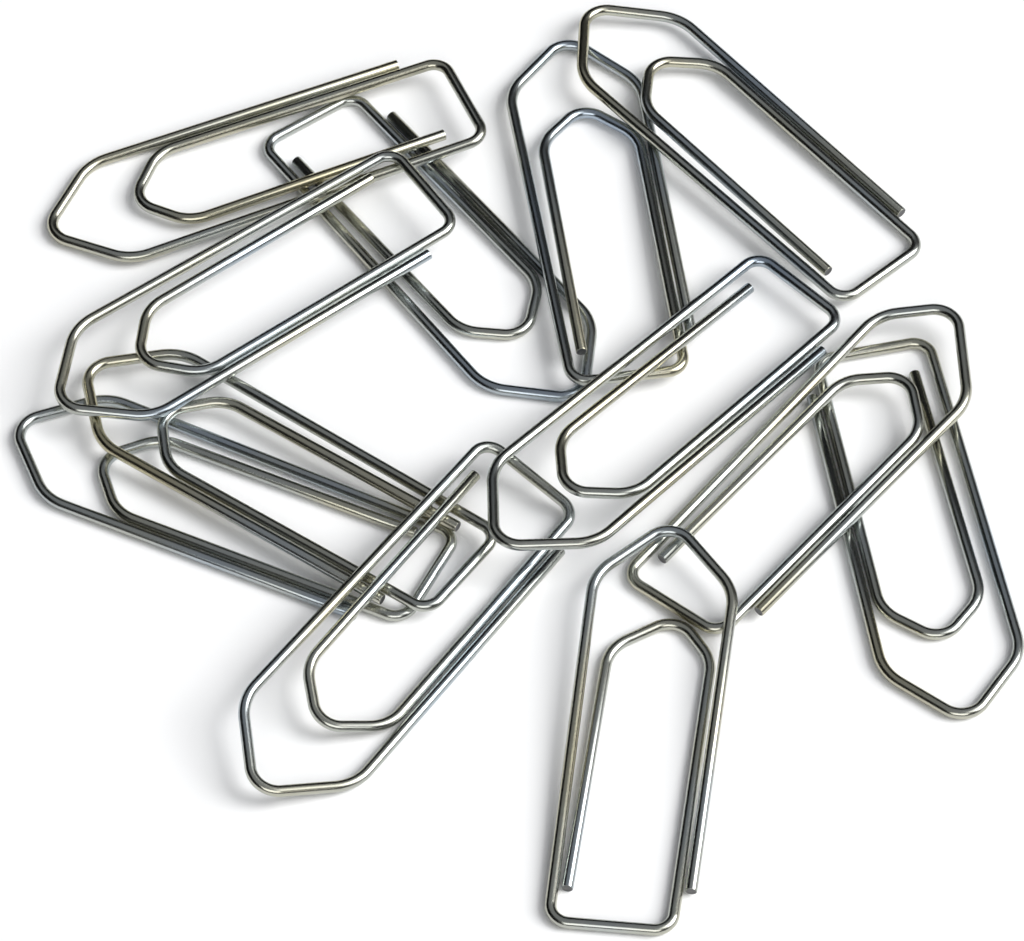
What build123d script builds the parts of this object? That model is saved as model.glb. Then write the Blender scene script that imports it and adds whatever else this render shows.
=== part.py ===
"""A heap of twelve pointed wire paper clips, lying on a desk as they fell.

Every clip is one piece of round steel wire with eight bends: an outer loop with a pointed
end, a flat end, and a pointed tongue that lies inside the loop.  The clips are laid one
after another.  Each rests on the desk and on the wires that were there before it, and the
front clip is hooked onto the flat end of the clip behind it.
"""
from build123d import *

import os

import numpy as np
from scipy.optimize import linprog

# Wire
wire_diameter = 0.8
flat_count = 7              # the round section is drawn with few flats, one corner facing down
leg_gap = 0.12              # between the outer free leg and the tongue's leg beside it
resting_gap = 0.1           # between two wires that lie on each other
samples_per_diameter = 4    # points along a wire at which it is tested for contact

# Clip, measured between wire centres, from the flat end to the point
clip_length = 32.0
clip_width = 9.6
point_height = 5.0
flat_end_taper = 0.6        # how much the closed leg draws in towards the flat end
flat_end_slant = 0.35       # how much longer the closed leg is than the leg across from it
point_gap = 6.8             # from the tongue's point to the loop's point
tongue_gap = 0.88           # between the tongue's free leg and the closed leg beside it
tongue_point_height = 3.2
tongue_point_offset = 0.26  # the tongue's point stands off the clip's centre line
hooked_point_offset = 1.2   # the same on the hooked clip, whose tongue is pushed aside
outer_end_setback = 3.3     # cut end of the outer leg, from the flat end
tongue_end_setback = 2.5    # cut end of the tongue, from the flat end

# Bends, at the wire's centre
shoulder_radius = 2.2
point_radius = 1.8
flat_end_radius = 1.3
tongue_shoulder_radius = 1.9
tongue_point_radius = 1.8
bend_radii = [
    shoulder_radius,
    point_radius,
    shoulder_radius,
    flat_end_radius,
    flat_end_radius,
    tongue_shoulder_radius,
    tongue_point_radius,
    tongue_shoulder_radius,
]

# Side of the clip on which the outer leg is cut, seen with the point away from you
RIGHT = -1
LEFT = 1

# The clips in the order in which they were laid: the middle of each, as shares of the clip
# length to the right of the heap's middle and behind it, the way its point faces in degrees
# from the right, and the side of its cut outer leg.
lying_shares = {
    "bottom_clip": (-0.150, 0.580, 307.5, LEFT),
    "far_left_clip": (-0.630, -0.090, 155.5, LEFT),
    "right_clip": (0.870, -0.175, 280.0, RIGHT),
    "front_clip": (0.275, -0.676, 82.0, RIGHT),
    "right_centre_clip": (0.670, 0.005, 49.0, RIGHT),
    "upper_left_clip": (-0.575, 0.825, 201.0, RIGHT),
    "lower_left_clip": (-0.520, -0.025, 146.0, LEFT),
    "left_clip": (-0.590, 0.420, 217.0, LEFT),
    "top_clip": (0.190, 0.720, 98.0, RIGHT),
    "lower_middle_clip": (-0.245, -0.460, 234.5, LEFT),
    "centre_clip": (0.300, 0.095, 227.5, LEFT),
    "top_right_clip": (0.495, 0.905, 131.0, RIGHT),
}

# Clips that are bent out of true, as shares of the clip width: how far the left shoulder is
# ahead of its true place and the right one behind it, and how far the tongue's cut end is
# drawn in.
bent_shares = {
    "right_centre_clip": (0.10, 0),
    "right_clip": (0, 0.05),
    "upper_left_clip": (0, 0.04),
    "centre_clip": (0, 0.05),
    "front_clip": (0, -0.02),
}
hooked_clip = "front_clip"              # its tongue lies under the carrier, its loop over it
hook_carrier = "right_centre_clip"
level_clips = ["centre_clip"]           # propped on both sides, so it tips lengthwise only

# Places along and across a clip that follow from its sizes
reach = wire_diameter + resting_gap
sample_step = wire_diameter / samples_per_diameter
outer_half = clip_width / 2
tongue_near = outer_half - wire_diameter - leg_gap
tongue_far = outer_half - wire_diameter - tongue_gap
flat_far = outer_half - flat_end_taper
half_slant = flat_end_slant / 2
middle = clip_length / 2
shoulder = clip_length - point_height
tongue_length = clip_length - point_gap
tongue_shoulder = tongue_length - tongue_point_height


def clip_corners(name, lift=0.0):
    """The ten corners of a clip's wire, from the outer cut end to the tongue's cut end.

    x runs from the clip's middle to its point and y to its left.  The outer loop rises by
    lift for each millimetre from the flat end.
    """
    side = lying_shares[name][-1]
    point_offset = hooked_point_offset if name == hooked_clip else tongue_point_offset
    lean_share, inset_share = bent_shares.get(name, (0, 0))
    lean = lean_share * clip_width * side
    inset = inset_share * clip_width
    loop = [
        (outer_end_setback, outer_half),
        (shoulder + lean, outer_half),
        (clip_length, lean),
        (shoulder - lean, -outer_half),
        (-half_slant, -flat_far),
    ]
    tongue = [
        (half_slant, tongue_near),
        (tongue_shoulder, tongue_near),
        (tongue_length, point_offset),
        (tongue_shoulder, -tongue_far),
        (tongue_end_setback, inset - tongue_far),
    ]
    corners = [(x - middle, side * y, lift * max(x, 0)) for x, y in loop]
    corners += [(x - middle, side * y, 0) for x, y in tongue]
    return corners


def wire_points(name):
    """Points along a flat clip's wire, and whether each belongs to the outer loop."""
    with BuildLine() as wire:
        FilletPolyline(*clip_corners(name), radius=bend_radii)
    path = wire.wires()[0]
    count = round(path.length / sample_step)
    points = np.array([tuple(path.position_at(i / count)) for i in range(count + 1)])
    turn = np.argmin(points[:, 0])
    return points, np.arange(count + 1) < turn


def lowest_heights(points, laid):
    """How high the wire must be at each point to rest on the desk and on what is laid."""
    needed = np.full(len(points), wire_diameter / 2)
    if len(laid):
        apart = points[:, None, :2] - laid[None, :, :2]
        squared = (apart**2).sum(axis=2)
        rise = np.sqrt(np.clip(reach**2 - squared, 0, None))
        over = np.where(squared < reach**2, laid[None, :, 2] + rise, 0)
        needed = np.maximum(needed, over.max(axis=1))
    return needed


def resting_plane(x, y, heading, points, needed, level):
    """The lowest plane for a clip with its middle at x, y that clears every needed height."""
    along = Vector(1, 0).rotate(Axis.Z, heading)
    offsets = points[:, :2] - (x, y)
    slopes = offsets
    if level:
        slopes = offsets @ np.array([[along.X], [along.Y]])
    conditions = np.column_stack([np.ones(len(offsets)), slopes])
    goal = [1] + [0] * slopes.shape[1]
    solution = linprog(goal, A_ub=-conditions, b_ub=-needed, bounds=(None, None)).x
    height, tilt = solution[0], solution[1:]
    if level:
        tilt = tilt[0] * np.array([along.X, along.Y])
    rise = tilt[0] * along.X + tilt[1] * along.Y
    return Plane(
        origin=(x, y, height),
        x_dir=(along.X, along.Y, rise),
        z_dir=(-tilt[0], -tilt[1], 1),
    )


def placed(plane, points):
    """Points given in a clip's own plane, as they lie in the heap."""
    axes = np.array([tuple(plane.x_dir), tuple(plane.y_dir), tuple(plane.z_dir)])
    return np.array(tuple(plane.origin)) + points @ axes


def lay_clips():
    """Lay the clips in order, and return the plane of each and the hooked loop's rise."""
    planes = {}
    laid = np.empty((0, 3))
    lift = 0.0
    for name, (x_share, y_share, heading, _) in lying_shares.items():
        points, in_loop = wire_points(name)
        x = x_share * clip_length
        y = y_share * clip_length
        flat = placed(Plane((x, y, 0)).rotated((0, 0, heading)), points)
        needed = lowest_heights(flat, laid)
        planes[name] = resting_plane(x, y, heading, flat, needed, name in level_clips)
        resting = placed(planes[name], points)
        if name == hooked_clip:
            loop_points = points[in_loop]
            loop_plane = planes[name]
            resting = resting[~in_loop]
        laid = np.vstack([laid, resting])
        if name == hook_carrier:
            loop = placed(loop_plane, loop_points)
            from_flat_end = np.clip(loop_points[:, 0] + middle, wire_diameter, None)
            rise = lowest_heights(loop, laid[-len(resting):]) - loop[:, 2]
            lift = float((rise / from_flat_end).max())
            loop_points[:, 2] = lift * from_flat_end
            laid = np.vstack([laid, placed(loop_plane, loop_points)])
    low = laid.min(axis=0)
    high = laid.max(axis=0)
    to_centre = Vector(-(low[0] + high[0]) / 2, -(low[1] + high[1]) / 2, 0)
    for plane in planes.values():
        plane.origin += to_centre
    return planes, lift


clip_planes, loop_lift = lay_clips()

# Bend each clip from its wire
os.makedirs("parts", exist_ok=True)
for clip_name, clip_plane in clip_planes.items():
    clip_lift = loop_lift if clip_name == hooked_clip else 0.0
    with BuildPart() as clip:
        with BuildLine(clip_plane) as centre_line:
            FilletPolyline(*clip_corners(clip_name, clip_lift), radius=bend_radii)
        path = centre_line.line
        with BuildSketch(Plane(path @ 0, x_dir=-clip_plane.z_dir, z_dir=path % 0)):
            RegularPolygon(wire_diameter / 2, flat_count)
        sweep(path=path)
    clip.part.label = clip_name
    export_step(clip.part, f"parts/{clip_name}.step")
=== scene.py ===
"""The look of a heap of pointed wire paper clips: bright drawn steel on a white desk."""

import math

import bpy
import numpy as np
from mathutils import Matrix, Vector


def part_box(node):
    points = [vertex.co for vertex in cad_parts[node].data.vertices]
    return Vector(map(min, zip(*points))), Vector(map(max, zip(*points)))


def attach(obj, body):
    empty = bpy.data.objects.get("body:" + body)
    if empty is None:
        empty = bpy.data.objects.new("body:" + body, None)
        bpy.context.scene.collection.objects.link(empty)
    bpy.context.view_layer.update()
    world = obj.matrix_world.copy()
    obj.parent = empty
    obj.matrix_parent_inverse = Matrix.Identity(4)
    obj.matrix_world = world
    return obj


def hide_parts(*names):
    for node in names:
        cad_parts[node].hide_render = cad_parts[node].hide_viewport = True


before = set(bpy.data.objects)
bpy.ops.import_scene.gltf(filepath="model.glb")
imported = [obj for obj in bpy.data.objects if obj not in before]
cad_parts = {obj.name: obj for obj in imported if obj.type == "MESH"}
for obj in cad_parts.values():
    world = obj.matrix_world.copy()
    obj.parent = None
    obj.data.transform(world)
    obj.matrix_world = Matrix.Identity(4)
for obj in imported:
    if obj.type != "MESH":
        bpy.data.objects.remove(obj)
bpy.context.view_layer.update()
bpy.ops.object.select_all(action="DESELECT")

# True clips with the cut outer leg on their left
# A paper clip is one length of round drawn steel wire, cut from a coil and bent eight times
# round small pins: an outer loop with a pointed end, a flat end, and a pointed tongue inside.
# Five clips lie loose this way up, seen with the point away from you.
mm = 0.001
wire_diameter = 0.8 * mm
wire_sides = 32
bend_step = math.radians(4)
cut_chamfer = 0.06 * mm
cut_chamfer_steps = 2
shear_dish = 0.03 * mm
smooth_below = math.radians(40)

clip_length = 32.0 * mm
clip_width = 9.6 * mm
point_height = 5.0 * mm
flat_end_taper = 0.6 * mm
flat_end_slant = 0.35 * mm
point_gap = 6.8 * mm
tongue_gap = 0.88 * mm
tongue_point_height = 3.2 * mm
tongue_point_offset = 0.26 * mm
leg_gap = 0.12 * mm
outer_end_setback = 3.3 * mm
tongue_end_setback = 2.5 * mm

# The shoulders are bent rounder here than in the solids, as they look in the photo.
shoulder_radius = 3.5 * mm
point_radius = 1.8 * mm
flat_end_radius = 1.3 * mm
tongue_shoulder_radius = 3.0 * mm
tongue_point_radius = 1.8 * mm

outer_half = clip_width / 2
tongue_near = outer_half - wire_diameter - leg_gap
tongue_far = outer_half - wire_diameter - tongue_gap
flat_far = outer_half - flat_end_taper
half_slant = flat_end_slant / 2
shoulder = clip_length - point_height
tongue_length = clip_length - point_gap
tongue_shoulder = tongue_length - tongue_point_height


def clip_route(lean, inset, point_offset, lift):
    """The corners of a clip's wire with the radius of the bend at each, from its outer cut end.

    x runs from the flat end to the point and y to the side of the outer cut end.  lean sets
    that side's shoulder ahead and the other one back, inset draws the tongue's cut end in,
    and the outer loop rises by lift per unit of x.
    """
    corners = [
        (outer_end_setback, outer_half, lift * outer_end_setback),
        (shoulder + lean, outer_half, lift * (shoulder + lean)),
        (clip_length, lean, lift * clip_length),
        (shoulder - lean, -outer_half, lift * (shoulder - lean)),
        (-half_slant, -flat_far, 0),
        (half_slant, tongue_near, 0),
        (tongue_shoulder, tongue_near, 0),
        (tongue_length, point_offset, 0),
        (tongue_shoulder, -tongue_far, 0),
        (tongue_end_setback, inset - tongue_far, 0),
    ]
    radii = [
        0,
        shoulder_radius,
        point_radius,
        shoulder_radius,
        flat_end_radius,
        flat_end_radius,
        tongue_shoulder_radius,
        tongue_point_radius,
        tongue_shoulder_radius,
        0,
    ]
    return [Vector(c) for c in corners], radii


def bend_clip(lean=0, inset=0, point_offset=tongue_point_offset, lift=0):
    """Draw a round section along a clip's route, spinning it round each bend."""
    corners, radii = clip_route(lean, inset, point_offset, lift)
    heading = (corners[1] - corners[0]).normalized()
    bpy.ops.mesh.primitive_circle_add(
        vertices=wire_sides,
        radius=wire_diameter / 2,
        fill_type="NGON",
        location=corners[0],
        rotation=heading.to_track_quat("Z", "Y").to_euler(),
    )
    clip = bpy.context.object
    bpy.ops.object.transform_apply(location=True, rotation=True, scale=True)
    bpy.ops.object.mode_set(mode="EDIT")
    bpy.ops.mesh.select_all(action="SELECT")
    here = corners[0]
    run = 0.0
    rings = [(here, heading, run)]
    for corner, after, radius in zip(corners[1:-1], corners[2:], radii[1:-1]):
        onward = (after - corner).normalized()
        angle = heading.angle(onward)
        setback = radius * math.tan(angle / 2)
        start = corner - heading * setback
        bpy.ops.mesh.extrude_region_move(TRANSFORM_OT_translate={"value": start - here})
        run += (start - here).length
        rings.append((start, heading, run))
        axis = heading.cross(onward).normalized()
        pin = start + axis.cross(heading) * radius
        steps = math.ceil(angle / bend_step)
        bpy.ops.mesh.spin(steps=steps, angle=-angle, center=pin, axis=axis)
        for step in range(1, steps + 1):
            turned = angle * step / steps
            turn = Matrix.Rotation(turned, 3, axis)
            rings.append((pin + turn @ (start - pin), turn @ heading, run + radius * turned))
        run += radius * angle
        here = corner + onward * setback
        heading = onward
    bpy.ops.mesh.extrude_region_move(TRANSFORM_OT_translate={"value": corners[-1] - here})
    rings.append((corners[-1], heading, run + (corners[-1] - here).length))
    bpy.ops.mesh.select_all(action="SELECT")
    bpy.ops.mesh.normals_make_consistent(inside=False)
    bpy.ops.object.mode_set(mode="OBJECT")
    return clip, rings


def select_cut_ends(clip):
    """Select the flat faces of both cut ends and go on in edit mode."""
    bpy.ops.object.mode_set(mode="EDIT")
    bpy.ops.mesh.select_mode(type="FACE")
    bpy.ops.mesh.select_all(action="DESELECT")
    bpy.ops.object.mode_set(mode="OBJECT")
    for face in clip.data.polygons:
        face.select = len(face.vertices) == wire_sides
    bpy.ops.object.mode_set(mode="EDIT")


def trim_ends(clip):
    """Break the edge of both cut ends, dish the sheared faces a little, and mark them."""
    select_cut_ends(clip)
    bpy.ops.mesh.region_to_loop()
    bpy.ops.mesh.bevel(offset=cut_chamfer, segments=cut_chamfer_steps)
    bpy.ops.object.mode_set(mode="OBJECT")
    select_cut_ends(clip)
    bpy.ops.mesh.inset(thickness=cut_chamfer, depth=-shear_dish, use_individual=True)
    bpy.ops.object.mode_set(mode="OBJECT")
    bpy.ops.object.shade_smooth_by_angle(angle=smooth_below)
    faces = [set(face.vertices) for face in clip.data.polygons]
    dished = set().union(*(face for face in faces if len(face) == wire_sides))
    sheared = set().union(*(face for face in faces if face & dished))
    cut_face = clip.data.attributes.new("cut_face", "FLOAT", "POINT")
    cut_face.data.foreach_set("value", [v in sheared for v in range(len(cut_face.data))])


off_wire_penalty = 4


def unroll(clip, rings):
    """Keep where each point of the wire was before it was bent, as an attribute of the mesh."""
    points = np.array([v.co for v in clip.data.vertices])
    centres, tangents, runs = (np.array(part) for part in zip(*rings))
    offsets = points[:, None] - centres[None]
    along = (offsets * tangents[None]).sum(axis=2)
    out = np.linalg.norm(offsets - along[..., None] * tangents[None], axis=2)
    off_wire = np.clip(out - wire_diameter / 2, 0, None)
    ring = (abs(along) + off_wire_penalty * off_wire).argmin(axis=1)
    each = np.arange(len(points))
    sideways = np.cross((0, 0, 1), tangents[ring])
    sideways /= np.linalg.norm(sideways, axis=1)[:, None]
    upward = np.cross(tangents[ring], sideways)
    offset = offsets[each, ring]
    straight = np.column_stack([
        runs[ring] + along[each, ring],
        (offset * sideways).sum(axis=1),
        (offset * upward).sum(axis=1),
    ])
    attribute = clip.data.attributes.new("straight_wire", "FLOAT_VECTOR", "POINT")
    attribute.data.foreach_set("vector", straight.ravel())


def make_clip(**bends):
    """Bend, trim and unroll one clip."""
    clip, rings = bend_clip(**bends)
    trim_ends(clip)
    unroll(clip, rings)
    return clip


pattern = make_clip()


# The wire is drawn through a die, which leaves fine lines along it, and is then plated
# bright.  The plating is uneven, with faint warm and cool patches, and differs from one
# clip to the next.  The sheared ends are bare, dull and darker.
class Finish:
    """A socket in a material's nodes.  Arithmetic on it adds Math nodes."""

    def __init__(self, tree, socket=None):
        self.tree = tree
        self.socket = socket

    def node(self, kind, settings, inputs, output=0):
        made = self.tree.nodes.new(kind)
        for name, value in settings.items():
            setattr(made, name, value)
        for name, value in inputs.items():
            if isinstance(value, Finish):
                self.tree.links.new(value.socket, made.inputs[name])
            else:
                made.inputs[name].default_value = value
        return Finish(self.tree, made.outputs[output])

    def maths(self, operation, first, second):
        return self.node("ShaderNodeMath", {"operation": operation}, {0: first, 1: second})

    def __add__(self, other):
        return self.maths("ADD", self, other)

    def __radd__(self, other):
        return self.maths("ADD", other, self)

    def __mul__(self, other):
        return self.maths("MULTIPLY", self, other)

    def __rmul__(self, other):
        return self.maths("MULTIPLY", other, self)


steel = bpy.data.materials.new("drawn_steel")
steel.use_nodes = True
steel_shader = steel.node_tree.nodes["Principled BSDF"]
wire = Finish(steel.node_tree)


def wire_mark(name, output="Fac"):
    """What a mesh keeps about each point of its wire under that name."""
    return wire.node("ShaderNodeAttribute", {"attribute_name": name}, {}, output)


place = wire_mark("straight_wire", "Vector")
clip_tint = wire_mark("clip_tint")
cut_face = wire_mark("cut_face")


def wire_noise(along, across, detail):
    """Noise on the unbent wire, with that many millimetres to a patch along it and across it."""
    stretched = wire.node(
        "ShaderNodeVectorMath",
        {"operation": "MULTIPLY"},
        {0: place, 1: (1 / (along * mm), 1 / (across * mm), 1 / (across * mm))},
    )
    return wire.node(
        "ShaderNodeTexNoise",
        {},
        {"Vector": stretched, "Scale": 1.0, "Detail": detail},
        "Fac",
    )


def blend(share, first, second):
    """A colour between two others."""
    return wire.node("ShaderNodeMix", {"data_type": "RGBA"}, {0: share, 6: first, 7: second}, 2)


die_lines = wire_noise(along=9.0, across=0.035, detail=2.0)
plating_patches = wire_noise(along=3.5, across=1.6, detail=3.0)
plating_tint = wire_noise(along=22.0, across=6.0, detail=2.0)

warm_grey = (0.55, 0.48, 0.27, 1)
cool_grey = (0.375, 0.46, 0.575, 1)
cut_grey = (0.15, 0.15, 0.15, 1)
tint_contrast = 1.7
neutral_tint = -0.33        # brings the contrasted tint back to midway between warm and cool
plating = blend(tint_contrast * plating_tint + clip_tint, warm_grey, cool_grey)
surface = blend(cut_face, plating, cut_grey)
steel.node_tree.links.new(surface.socket, steel_shader.inputs["Base Color"])

bright_roughness = 0.14
die_line_roughness = 0.10
patch_roughness = 0.08
cut_roughness = 0.25
roughness = bright_roughness + die_line_roughness * die_lines
roughness = roughness + patch_roughness * plating_patches + cut_roughness * cut_face
steel.node_tree.links.new(roughness.socket, steel_shader.inputs["Roughness"])

die_line_strength = 0.35
die_line_depth = 0.004 * mm
relief = wire.node(
    "ShaderNodeBump",
    {},
    {"Strength": die_line_strength, "Distance": die_line_depth, "Height": die_lines},
)
steel.node_tree.links.new(relief.socket, steel_shader.inputs["Normal"])
steel_shader.inputs["Metallic"].default_value = 1.0

# The way each clip's point faces, in degrees from the right, and how cool its plating is.
true_left_clips = {
    "bottom_clip": (307.5, 0.05),
    "far_left_clip": (155.5, 0.06),
    "lower_left_clip": (146.0, -0.06),
    "left_clip": (217.0, 0.04),
    "lower_middle_clip": (234.5, 0.03),
}
clip_run = 125 * mm         # wire that one clip takes from the coil


def copy_pattern():
    """A copy of the true clip, with its own mesh."""
    clip = pattern.copy()
    clip.data = pattern.data.copy()
    bpy.context.scene.collection.objects.link(clip)
    return clip


def tint_wire(clip, node, tint):
    """Give a clip its own stretch of the coil, and its own tint."""
    straight = clip.data.attributes["straight_wire"]
    wire_places = np.empty(len(straight.data) * 3, dtype=np.float32)
    straight.data.foreach_get("vector", wire_places)
    wire_places[0::3] += clip_run * list(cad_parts).index(node)
    straight.data.foreach_set("vector", wire_places)
    own_tint = clip.data.attributes.new("clip_tint", "FLOAT", "POINT")
    own_tint.data.foreach_set("value", [neutral_tint + tint] * len(own_tint.data))
    clip.data.materials.append(steel)


def lie(clip, node, heading, turned_over, tint, flat=False):
    """Lay a clip where its solid lies, in the same plane, end on end and side on side.

    A flat clip lies along the desk whatever its solid's plane.
    """
    clip.name = node.replace("_clip", "_wire")
    tint_wire(clip, node, tint)
    if turned_over:
        clip.data.transform(Matrix.Rotation(math.pi, 4, "X"))
    solid = np.array([v.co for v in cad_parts[node].data.vertices])
    normal = Vector((0, 0, 1))
    if not flat:
        normal = Vector(np.linalg.svd(solid - solid.mean(axis=0), full_matrices=False)[2][-1])
        normal *= math.copysign(1, normal.z)
    ahead = Vector((math.cos(math.radians(heading)), math.sin(math.radians(heading)), 0))
    ahead.z = -normal.dot(ahead) / normal.z
    ahead.normalize()
    axes = Matrix((ahead, normal.cross(ahead), normal))
    seat = solid @ np.array(axes).T
    points = np.array([v.co for v in clip.data.vertices])
    shift = (seat.min(axis=0) + seat.max(axis=0) - points.min(axis=0) - points.max(axis=0)) / 2
    clip.data.transform(axes.transposed().to_4x4() @ Matrix.Translation(shift))
    lowest = min(v.co.z for v in clip.data.vertices)
    clip.data.transform(Matrix.Translation((0, 0, solid[:, 2].min() - lowest)))
    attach(clip, node)
    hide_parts(node)


for node, (heading, tint) in true_left_clips.items():
    lie(copy_pattern(), node, heading, turned_over=False, tint=tint)

# True clips turned over
# Two more clips of the same steel wire and the same bends lie the other way up, so that their
# cut outer leg is on the right.  They lie loose too.
true_right_clips = {"top_clip": (98.0, 0.06), "top_right_clip": (131.0, -0.01)}
for node, (heading, tint) in true_right_clips.items():
    lie(copy_pattern(), node, heading, turned_over=True, tint=tint)
bpy.data.objects.remove(pattern)

# Clips bent out of true
# Handling has drawn in the tongue's cut end on three clips, and has set the point of a fourth
# askew, with one shoulder ahead of the other.  They are steel wire and lie loose as well.
drawn_in_clips = {
    "upper_left_clip": (0.04, 201.0, True, -0.10),
    "right_clip": (0.05, 280.0, True, 0.02),
    "centre_clip": (0.05, 227.5, False, 0.05),
}
for node, (inset_share, heading, turned_over, tint) in drawn_in_clips.items():
    drawn_in = make_clip(inset=inset_share * clip_width)
    lie(drawn_in, node, heading, turned_over, tint)

lean_share = -0.10
askew = make_clip(lean=lean_share * clip_width)
lie(askew, "right_centre_clip", heading=49.0, turned_over=True, tint=-0.05)

# Front clip, hooked on
# Its tongue lies on the desk under another clip's flat end and its loop lies over it.  The
# spring of the steel wire holds the loop open from the tongue, which is pushed to one side.
hooked_point_offset = 1.2 * mm
hooked_inset_share = -0.02
front_low, front_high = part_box("front_clip")
point_half_angle = math.atan2(outer_half, point_height)
loop_reach = clip_length - point_radius * (1 / math.sin(point_half_angle) - 1)
gape = (front_high.z - front_low.z - wire_diameter) / loop_reach
hooked = make_clip(
    inset=hooked_inset_share * clip_width,
    point_offset=hooked_point_offset,
    lift=-gape,
)
lie(hooked, "front_clip", heading=82.0, turned_over=True, tint=-0.03, flat=True)

# Desk
# A plain white table top with a dull finish, which the clips lie on loose.  It takes their
# soft shadows and shows in the undersides of the wires.
desk_side = 6.0
bpy.ops.mesh.primitive_plane_add(size=desk_side)
desk = bpy.context.object
desk.name = "desk"
desk_white = bpy.data.materials.new("desk_white")
desk_white.use_nodes = True
desk_shader = desk_white.node_tree.nodes["Principled BSDF"]
desk_shader.inputs["Base Color"].default_value = (1.0, 1.0, 1.0, 1)
desk_shader.inputs["Roughness"].default_value = 0.9
desk_shader.inputs["Specular IOR Level"].default_value = 0.0
desk.data.materials.append(desk_white)


# Studio light
# A soft box on the right, in front of a larger dim screen, gives the light, the shadows and
# the bright lines in the wires.  A wide panel overhead shows as their soft grey, a panel in
# front lightens the shadows, and the room is dark.
def add_panel(name, place, width, depth, energy, colour):
    """A flat lamp that faces the middle of the desk."""
    bpy.ops.object.light_add(type="AREA", location=place)
    panel = bpy.context.object
    panel.name = name
    panel.data.shape = "RECTANGLE"
    panel.data.size = width
    panel.data.size_y = depth
    panel.data.energy = energy
    panel.data.color = colour
    panel.rotation_euler = (-panel.location).to_track_quat("-Z", "Y").to_euler()


white = (1.0, 1.0, 1.0)
pale_blue = (0.89, 0.93, 1.0)
add_panel("soft_box", (2.45, 0.0, 2.05), width=1.9, depth=1.9, energy=84, colour=white)
add_panel("screen", (2.9, -0.38, 2.7), width=3.8, depth=4.2, energy=86, colour=white)
add_panel("overhead", (0.0, 0.05, 1.5), width=2.2, depth=2.4, energy=5.2, colour=pale_blue)
add_panel("front_fill", (0.0, -2.4, 1.7), width=2.4, depth=1.6, energy=28, colour=white)
world = bpy.data.worlds.new("studio")
bpy.context.scene.world = world
world.use_nodes = True
room = world.node_tree.nodes["Background"]
room.inputs["Color"].default_value = (0.004, 0.004, 0.004, 1)

# Camera
# It looks down on the heap over the front edge of the desk, as the photo does, from far
# enough off that near and far clips look about the same size.
look_at = Vector((-0.0935, -1.5709, 0)) * mm
elevation = math.radians(53.49)
distance = 432.5 * mm
focal_pixels = 6253.1
image_width = 1024
bpy.ops.object.camera_add()
camera = bpy.context.object
camera.location = look_at + distance * Vector((0, -math.cos(elevation), math.sin(elevation)))
camera.rotation_euler = (math.pi / 2 - elevation, 0, 0)
camera.data.sensor_width = 36.0
camera.data.lens = focal_pixels * camera.data.sensor_width / image_width
bpy.context.scene.camera = camera
bpy.context.scene.view_settings.view_transform = "Standard"
